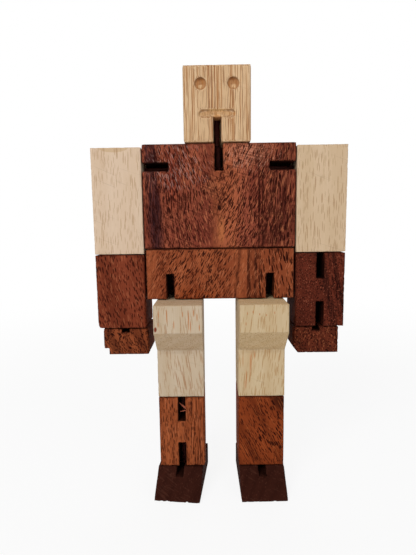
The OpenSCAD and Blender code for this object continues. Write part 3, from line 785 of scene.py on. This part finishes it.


# The groove: its two ends and its upper rim lightened with painted light against their shade, its wall in its
# own darker tone, a painted highlight on its lower side, and a warm patch in the middle
def mouthToneAndPaintedLight(half, up):
    ends = [stain((end, -11.35, up), (0.9, 0.7, 1.8), edge=0.5, ragged=0.0, colour=(250, 204, 136),
                  strength=0.8) for end in (-half, half)]
    return ends + [
        stain((0.0, -11.4, up), (half + 0.1, 2.0, 1.62), edge=0.08, ragged=0.0, colour=(194, 150, 102),
              strength=0.7),
        stain((0.0, -11.2, up - 0.9), (half, 0.8, 0.9), edge=0.8, ragged=0.0, colour=(222, 190, 150),
              strength=0.7),
        stain((0.0, -11.35, up + 1.6), (half + 0.6, 0.7, 0.9), edge=0.5, ragged=0.0, colour=(250, 204, 136),
              strength=0.9),
        stain((0.0, -9.5, up - 1.3), (2.3, 5.0, 1.4), edge=0.3, ragged=0.1, colour=(222, 166, 110),
              strength=0.8),
    ]


headLook = dict(
    pale=(218, 186, 148), deep=(204, 170, 130), ring=(186, 142, 98), ringSpacing=1.9, ringShade=0.25,
    heart=(-1.0, 34.0, 0.0), wander=0.5, wanderLength=26.0, fibreWidth=0.26, fibreLength=40.0,
    fibreShade=0.22, cloudShade=0.25, seed=7.0,
    stripes=[
        stripe(-2.4, 0.1, soft=0.25, wander=0.4, colour=(126, 70, 34), strength=0.9),
        stripe(-1.0, 0.1, soft=0.25, wander=0.5, colour=(126, 70, 34), strength=0.9),
        stripe(-3.9, 0.05, soft=0.25, wander=0.6, colour=(126, 70, 34), strength=0.8),
        stripe(11.5, 0.05, soft=0.25, wander=0.5, colour=(150, 100, 60), strength=0.7),
        stripe(-13.0, 0.05, soft=0.25, wander=0.5, colour=(160, 108, 64), strength=0.7),
    ],
    stains=[*eyeToneAndPaintedShading(-face["eyeAcross"], face["eyeUp"]), *eyeToneAndPaintedShading(face["eyeAcross"], face["eyeUp"]),
            *mouthToneAndPaintedLight(face["mouthHalf"], face["mouthUp"])],
    dashes=[fineLine, dict(fineLine, length=9.0, width=0.2, share=0.45, slant=1.5, colour=(142, 92, 54))],
    endColour=(170, 128, 88), edgeColour=(196, 158, 116), edgeAmount=0.3, bump=0.3, chips=0.3, round=5.5,
    shelterColour=(140, 84, 46), shelterShade=0.12,
)
paleFleck = dict(
    width=0.32, length=4.5, fill=0.72, share=0.7, colour=(172, 134, 98), strength=0.6, depth=-0.3,
)
paleArmLook = dict(
    pale=(220, 196, 172), deep=(208, 180, 150), ring=(200, 170, 138), ringSpacing=7.0, ringShade=0.2,
    wander=1.0, fibreShade=0.35, cloudShade=0.35, seed=11.0,
    stains=[
        stain((-0.8, -11.8, 24.9), (7.4, 3.0, 2.4), edge=0.12, ragged=0.02, colour=(200, 170, 134),
              strength=0.8),
    ],
    dashes=[paleFleck], edgeColour=(208, 180, 148), edgeAmount=0.2, bump=0.25, chips=0.4, rough=(0.55, 0.7),
    endColour=(170, 138, 106), shelterColour=(120, 84, 56),
)
tanArmLook = dict(
    paleArmLook, pale=(214, 188, 158), deep=(198, 170, 134), ring=(188, 158, 120), seed=13.0, stains=[],
    dashes=[dict(paleFleck, colour=(160, 122, 84))],
)
leftForearmLook = dict(
    pale=(134, 64, 42), deep=(100, 43, 26), ring=(84, 34, 21), ringSpacing=9.0, ringShade=0.3, seed=17.0,
    cloudShade=0.7, wander=2.0, fibreShade=0.4,
    dashes=[
        dict(lightStreak, slant=-10.0, strength=0.3),
        dict(darkPore, slant=-16.0, length=2.1, fill=0.6, share=0.68, strength=0.8),
        dict(finePore, slant=-10.0, share=0.3),
    ],
    edgeColour=(66, 28, 18), round=2.5,
)
rightForearmLook = dict(
    pale=(112, 50, 34), deep=(82, 35, 24), ring=(64, 27, 19), ringSpacing=5.0, ringShade=0.4, seed=19.0,
    cloudShade=0.8, wander=2.6, wanderLength=16.0,
    stripes=[
        stripe(3.6, 0.8, soft=1.5, wander=1.0, slant=-0.22, colour=(42, 18, 14), strength=0.75),
        stripe(9.5, 0.5, soft=1.0, wander=1.0, slant=-0.21, colour=(36, 15, 11), strength=0.8),
        stripe(6.9, 0.2, soft=0.6, wander=1.2, slant=-0.2, colour=(46, 19, 14), strength=0.6),
    ],
    dashes=[
        dict(lightStreak, width=0.4, length=0.7, fill=0.5, share=0.7, colour=(160, 92, 68), strength=0.5),
        dict(finePore, slant=10.0, width=0.34, length=0.7, share=0.85, colour=(30, 10, 7)),
        dict(darkPore, slant=-12.0, length=5.0, fill=0.75,
             within=area((7.5, -12.0, -2.0), (5.5, 20.0, 17.0))),
    ],
    edgeColour=(48, 20, 14), round=2.5,
)
leftHandLook = dict(
    pale=(164, 88, 52), deep=(112, 52, 30), ring=(80, 34, 20), ringSpacing=3.4, ringShade=0.5, seed=23.0,
    cloudShade=0.8, wander=2.6, wanderLength=12.0, grainTurn=(0.0, 18.0, 0.0),
    stripes=[
        stripe(-6.1, 1.2, soft=1.8, wander=1.0, colour=(56, 25, 16), strength=0.5),
        stripe(-3.4, 0.1, soft=0.4, slant=0.32, colour=(60, 27, 17), strength=0.7),
        stripe(8.4, 0.12, soft=0.4, colour=(60, 27, 17), strength=0.8),
    ],
    dashes=[
        dict(darkPore, slant=-10.0, width=0.4, length=1.4, share=0.6),
        dict(finePore, slant=-6.0, length=1.4),
    ],
    edgeColour=(58, 26, 17), round=2.5,
)
rightHandLook = dict(
    leftHandLook, pale=(120, 57, 37), deep=(80, 34, 22), ring=(60, 26, 17), seed=29.0, stripes=[],
    dashes=[
        dict(lightStreak, width=0.34, length=1.4, fill=0.6, share=0.75, slant=12.0, colour=(170, 98, 64),
             strength=0.5),
        dict(darkPore, slant=-10.0, width=0.4, length=1.0, share=0.6),
    ],
)


# Rust-coloured streaks along the grain: a place across, a height and half a length
def rustStreaks(*places):
    return [stain((x, -16.0, z), (0.3, 30.0, half), edge=0.6, ragged=0.12, colour=(186, 120, 70),
                  strength=0.9) for x, z, half in places]


leftThighLook = dict(
    pale=(205, 187, 163), deep=(187, 164, 135), ring=(182, 156, 122), ringSpacing=5.0, ringShade=0.3,
    wander=0.8, seed=31.0, fibreShade=0.35,
    dashes=[
        dict(paleFleck, slant=-5.0, colour=(164, 122, 84), length=6.0, share=0.5, strength=0.75),
        dict(paleFleck, slant=-9.0, width=0.45, length=9.0, colour=(162, 114, 76), strength=0.7,
             within=area((3.0, -6.0, -12.0), (13.0, 16.0, 15.0))),
    ],
    knots=[
        stain((-10.3, -17.0, 12.9), (0.8, 8.0, 1.5), edge=0.5, colour=(122, 42, 20), strength=0.95),
        *rustStreaks((4.9, 17.0, 6.6), (5.8, 14.4, 4.0), (8.8, 18.4, 2.6), (7.2, 20.4, 2.2),
                     (-4.9, 19.0, 4.6), (-8.7, 20.0, 2.4), (-9.0, 15.0, 1.4), (-1.8, 15.0, 2.6),
                     (2.2, 19.8, 1.8), (9.8, 13.6, 2.0)),
    ],
    edgeColour=(170, 146, 116), edgeAmount=0.35, bump=0.25, rough=(0.55, 0.7), endColour=(216, 176, 124),
    endShade=0.4, shelterColour=(120, 84, 56), chips=0.4,
)
rightThighLook = dict(
    leftThighLook, pale=(209, 188, 153), deep=(192, 164, 125), ring=(186, 154, 111), seed=37.0,
    endColour=(240, 204, 150),
    dashes=[dict(paleFleck, slant=6.0, colour=(172, 128, 78), length=6.0, strength=0.75)],
    knots=rustStreaks((-7.7, 20.0, 0.9), (-5.2, 20.6, 1.1), (-8.4, 15.2, 1.2), (-2.2, 19.6, 0.8),
                      (0.8, 19.2, 0.7), (4.6, 20.2, 0.8), (-5.5, -9.0, 9.5), (-5.0, -6.0, 6.5),
                      (-7.4, -15.0, 7.0), (-3.4, -3.0, 3.2), (-9.0, -6.0, 4.0), (-8.0, -18.0, 4.0)),
)
leftShinLook = dict(
    pale=(168, 90, 52), deep=(136, 68, 38), ring=(106, 48, 26), ringSpacing=3.0, ringShade=0.4, wander=0.8,
    seed=41.0, cloudShade=0.5, fibreShade=0.5, fibreWidth=0.35,
    dashes=[
        dict(lightStreak, length=8.0),
        dict(darkPore, slant=-4.0, length=2.2, width=0.5, fill=0.7, share=0.6, strength=0.65),
        dict(finePore, slant=-2.0, length=3.0, strength=0.55),
        dict(darkLine, within=area((7.5, -12.0, 0.0), (6.0, 20.0, 34.0))),
    ],
    edgeColour=(80, 36, 20), round=2.0,
)
rightShinLook = dict(
    pale=(160, 76, 38), deep=(112, 47, 22), ring=(76, 29, 14), ringSpacing=5.0, ringShade=0.5,
    grainTurn=(0.0, 26.0, 0.0), wander=1.6, seed=43.0, cloudShade=0.7, fibreShade=0.45,
    stains=[stain((10.0, -12.0, 16.0), (7.0, 8.0, 7.5), edge=0.9, colour=(44, 18, 11), strength=0.85)],
    dashes=[
        dict(lightStreak, length=7.0, colour=(184, 100, 54)),
        dict(darkPore, length=2.8, fill=0.75, within=area((4.0, 0.0, 2.0), (13.0, 90.0, 30.0))),
        dict(finePore, length=2.2, strength=0.8),
        dict(darkLine, within=area((-6.0, -12.0, -8.0), (7.0, 20.0, 14.0))),
    ],
    edgeColour=(70, 32, 18), round=2.0,
)
footLook = dict(
    pale=(62, 30, 22), deep=(48, 22, 16), ring=(42, 18, 13), ringSpacing=3.0, ringShade=0.4,
    grainTurn=(62.0, 0.0, 0.0), seed=47.0, cloudShade=0.6, wander=1.4, chips=1.8, endShade=0.0,
    dashes=[
        dict(width=0.34, length=0.7, fill=0.45, share=0.7, colour=(92, 54, 42), strength=0.4, depth=-0.2),
    ],
    sawMarks=0.6, sawColour=(92, 56, 44), sawShade=0.25, edgeColour=(78, 42, 32), edgeAmount=0.5,
    shine=0.01, round=4.0, shelterColour=(38, 18, 13), shelterShade=0.8,
)
blockLooks = {
    "head": headLook, "chest": chestLook, "hips": hipsLook, "left_upper_arm": paleArmLook,
    "right_upper_arm": tanArmLook, "left_forearm": leftForearmLook, "right_forearm": rightForearmLook,
    "left_hand": leftHandLook, "right_hand": rightHandLook, "left_thigh": leftThighLook,
    "right_thigh": rightThighLook, "left_shin": leftShinLook, "right_shin": rightShinLook,
    "left_foot": footLook, "right_foot": dict(footLook, seed=53.0),
}
for nodeName, look in blockLooks.items():
    wornBlock(nodeName, look)
print("wooden blocks finished:", len(blockLooks))

# Torn fibres in the top slot of the left shin: ends in mm from the middle of the block
splinter = {"thick": 0.46, "taper": 0.6, "sag": 0.12, "sides": 6, "steps": 8, "colour": (176, 92, 64),
            "rough": 0.7,
            "places": (((1.95, -11.3, 11.9), (-1.1, -11.0, 14.9)), ((1.95, -11.2, 12.5), (0.4, -11.1, 14.0)),
                       ((1.95, -11.3, 11.1), (-0.9, -11.1, 10.4)))}


# A thin tapered rod, from its rooted end to its loose one
def addSplinter(shape, root, tip):
    along = (tip - root).normalized()
    side = along.cross(Vector((0, 1, 0))).normalized()
    other = along.cross(side)
    rings = []
    for step in range(splinter["steps"] + 1):
        share = step / splinter["steps"]
        spot = root.lerp(tip, share) + side * math.sin(share * math.pi) * splinter["sag"] * mm
        radius = splinter["thick"] / 2 * mm * (1 - splinter["taper"] * share)
        angles = [2 * math.pi * corner / splinter["sides"] for corner in range(splinter["sides"])]
        rings.append([shape.verts.new(spot + (side * math.cos(angle) + other * math.sin(angle)) * radius)
                      for angle in angles])
    for one, two in zip(rings, rings[1:]):
        for corner in range(splinter["sides"]):
            after = (corner + 1) % splinter["sides"]
            shape.faces.new((one[corner], one[after], two[after], two[corner]))
    shape.faces.new(rings[0][::-1])
    shape.faces.new(rings[-1])


def tornFibres(name, nodeName):
    low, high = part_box(nodeName)
    centre = (low + high) / 2
    shape = bmesh.new()
    for place in splinter["places"]:
        root, tip = (centre + Vector(point) * mm for point in place)
        addSplinter(shape, root, tip)
    bmesh.ops.recalc_face_normals(shape, faces=shape.faces)
    mesh = bpy.data.meshes.new(name)
    shape.to_mesh(mesh)
    shape.free()
    material, tree, shader = newMaterial("tornFibre", splinter["rough"])
    shader.inputs["Base Color"].default_value = paint(*splinter["colour"])
    mesh.materials.append(material)
    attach(addObject(name, mesh), bodyOf[nodeName])


tornFibres("leftShinTornFibres", "left_shin")
print("torn fibres added:", len(splinter["places"]))

# Sizes in mm; the lay is how far a strand runs in one turn
elastic = {"diameter": 2.4, "strands": 8, "strandShare": 0.2, "lay": 9.0, "step": 0.7, "strandSides": 8,
           "coreSides": 10, "endReach": 0.3, "colour": (92, 34, 24), "threadColour": (132, 66, 52),
           "threads": {"Width": 0.16, "Length": 0.8, "Fill": 0.6, "Share": 0.8, "Seed": 2.0},
           "threadShade": 0.6, "rough": (0.7, 0.9), "bump": 0.4, "bumpSize": 0.1}


def elasticMaterial(settings):
    material, tree, shader = newMaterial("wovenElastic")
    place = scaled(tree, tree.nodes.new("ShaderNodeTexCoord").outputs["Object"], 1 / mm)
    threads = useGroup(tree, dashGroup, {"Position": place, **settings["threads"]})["Mask"]
    base = paint(*settings["colour"])
    colour = tint(tree, base, threads, settings["threadShade"], settings["threadColour"])
    tree.links.new(colour, shader.inputs["Base Color"])
    tree.links.new(remap(tree, threads, 0.0, 1.0, *settings["rough"]), shader.inputs["Roughness"])
    addBump(tree, shader, threads, settings["bump"], settings["bumpSize"])
    return material


# Strands laid round a core, following a path of joined points
def makeElasticTree():
    tree, given, out = newGroup(
        "strandedElastic",
        {"Geometry": "Geometry", "Diameter": elastic["diameter"] * mm, "Strands": elastic["strands"],
         "Lay Length": elastic["lay"] * mm, "Cover": "Material"},
        {"Geometry": "Geometry"}, "GeometryNodeTree")
    path = wire(tree, "GeometryNodeMeshToCurve", {"Mesh": given["Geometry"]}).outputs[0]
    even = wire(tree, "GeometryNodeResampleCurve", {"Curve": path, "Length": elastic["step"] * mm},
                mode="LENGTH").outputs[0]
    copies = wire(tree, "GeometryNodeDuplicateElements", {"Geometry": even, "Amount": given["Strands"]},
                  domain="SPLINE").outputs
    strandRadius = maths(tree, "MULTIPLY", given["Diameter"], elastic["strandShare"])
    ringRadius = maths(tree, "SUBTRACT", maths(tree, "MULTIPLY", given["Diameter"], 0.5), strandRadius)
    travelled = tree.nodes.new("GeometryNodeSplineParameter").outputs["Length"]
    share = maths(tree, "DIVIDE", copies["Duplicate Index"], given["Strands"])
    turns = maths(tree, "ADD", share, maths(tree, "DIVIDE", travelled, given["Lay Length"]))
    angle = maths(tree, "MULTIPLY", turns, 2 * math.pi)
    normal = tree.nodes.new("GeometryNodeInputNormal").outputs[0]
    tangent = tree.nodes.new("GeometryNodeInputTangent").outputs[0]
    side = vectors(tree, "CROSS_PRODUCT", tangent, normal)
    outwards = vectors(tree, "ADD", scaled(tree, normal, maths(tree, "COSINE", angle)),
                       scaled(tree, side, maths(tree, "SINE", angle)))
    laid = wire(tree, "GeometryNodeSetPosition", {
        "Geometry": copies[0], "Offset": scaled(tree, outwards, ringRadius)}).outputs[0]
    joined = tree.nodes.new("GeometryNodeJoinGeometry")
    for curve, radius, sides in ((laid, strandRadius, elastic["strandSides"]),
                                 (even, ringRadius, elastic["coreSides"])):
        circle = wire(tree, "GeometryNodeCurvePrimitiveCircle", {"Resolution": sides, "Radius": radius})
        swept = wire(tree, "GeometryNodeCurveToMesh", {
            "Curve": curve, "Profile Curve": circle.outputs[0], "Fill Caps": True}).outputs[0]
        tree.links.new(swept, joined.inputs[0])
    finishTree(tree, joined.outputs[0], given["Cover"], out)
    return tree


elasticTree = makeElasticTree()
elasticCover = elasticMaterial(elastic)


# Paths are lists of points; each becomes one run of elastic
def elasticPiece(nodeName, *paths):
    points = []
    links = []
    for path in paths:
        links += [(len(points) + i, len(points) + i + 1) for i in range(len(path) - 1)]
        points += [tuple(point) for point in path]
    mesh = bpy.data.meshes.new("path")
    mesh.from_pydata(points, links, [])
    source = addObject("path", mesh)
    addTree(source, elasticTree, {"Cover": elasticCover})
    settle(source, camel(nodeName), nodeName)
    bpy.data.objects.remove(source)


# The middle of a CAD stretch's first or last end along an axis, from the node's own corners
def endMiddle(nodeName, axis, last):
    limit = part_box(nodeName)[last][axis]
    corners = [vertex.co for vertex in nodes[nodeName].data.vertices]
    near = [corner for corner in corners if abs(corner[axis] - limit) < elastic["endReach"] * mm]
    return sum(near, Vector()) / len(near)


# Which way each knot lies from its seat: -1 where it hangs below, 1 where it sits on top
knotWays = {"hips_elastic": -1, "left_hand_elastic": -1, "right_hand_elastic": -1, "left_foot_elastic": -1,
            "right_foot_elastic": -1, "left_hip_knot": 1, "right_hip_knot": 1}
otherStretches = (*knotWays, "chest_elastic")
straightStretches = [name for name in nodes if name.endswith("_elastic") and name not in otherStretches]
for nodeName in straightStretches:
    low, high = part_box(nodeName)
    axis = 2 if high.z - low.z > high.x - low.x else 0
    elasticPiece(nodeName, [endMiddle(nodeName, axis, last) for last in (0, 1)])
print("straight elastics laid:", len(straightStretches))


# A knot is two wraps; its rises are shares of the elastic's diameter
knot = {"width": 7.2, "rise": 2.4, "wrapRise": 0.95, "wraps": 2, "steps": 24, "tuckedTo": 0.3, "tuckRate": 4}


# Wraps round the standing end, level in the first and last half turn and drawn together there
def knotWraps(seat, way):
    reach = (knot["width"] - elastic["diameter"]) / 2
    rise = elastic["diameter"] * knot["wrapRise"]
    points = []
    for step in range(knot["steps"] * knot["wraps"] + 1):
        turn = step / knot["steps"]
        drop = rise * (0.5 + min(max(turn - 0.5, 0.0), knot["wraps"] - 1))
        toEnd = min(turn, knot["wraps"] - turn)
        tuck = min(1.0, knot["tuckRate"] * toEnd + knot["tuckedTo"])
        angle = 2 * math.pi * turn
        around = Vector((reach * tuck * math.cos(angle), reach * tuck * math.sin(angle), way * drop))
        points.append(seat + around * mm)
    return points


for nodeName, way in knotWays.items():
    far = endMiddle(nodeName, 2, way < 0)
    tip = endMiddle(nodeName, 2, way > 0)
    seat = tip - Vector((0, 0, way * elastic["diameter"] * knot["rise"])) * mm
    elasticPiece(nodeName, [far, seat, tip], knotWraps(seat, way))
print("knotted ends tied:", len(knotWays))

# In the chest the upright elastic bows forward and the cross one back, each within this length
crossing = {"bowLength": 3.0, "uprightSteps": 24, "acrossSteps": 60}


# Points between two ends, bowed to one side in the middle
def bowed(start, end, bow, steps):
    points = []
    for step in range(steps + 1):
        share = step / steps
        fromMiddle = (share - 0.5) * (end - start).length / (crossing["bowLength"] * mm)
        points.append(start.lerp(end, share) + bow * math.exp(-fromMiddle ** 2))
    return points


low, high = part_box("chest_elastic")
middle = (low + high) / 2
shoulderLow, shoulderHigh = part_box("left_shoulder_elastic")
level = (shoulderLow.z + shoulderHigh.z) / 2
aside = Vector((0, elastic["diameter"] / 2 * mm, 0))
upright = bowed(Vector((middle.x, middle.y, level * 2 - high.z)), Vector((middle.x, middle.y, high.z)),
                -aside, crossing["uprightSteps"])
across = bowed(Vector((low.x, middle.y, level)), Vector((high.x, middle.y, level)), aside,
               crossing["acrossSteps"])
elasticPiece("chest_elastic", [Vector((middle.x, middle.y, low.z)), *upright], across)
print("elastics crossed in the chest")
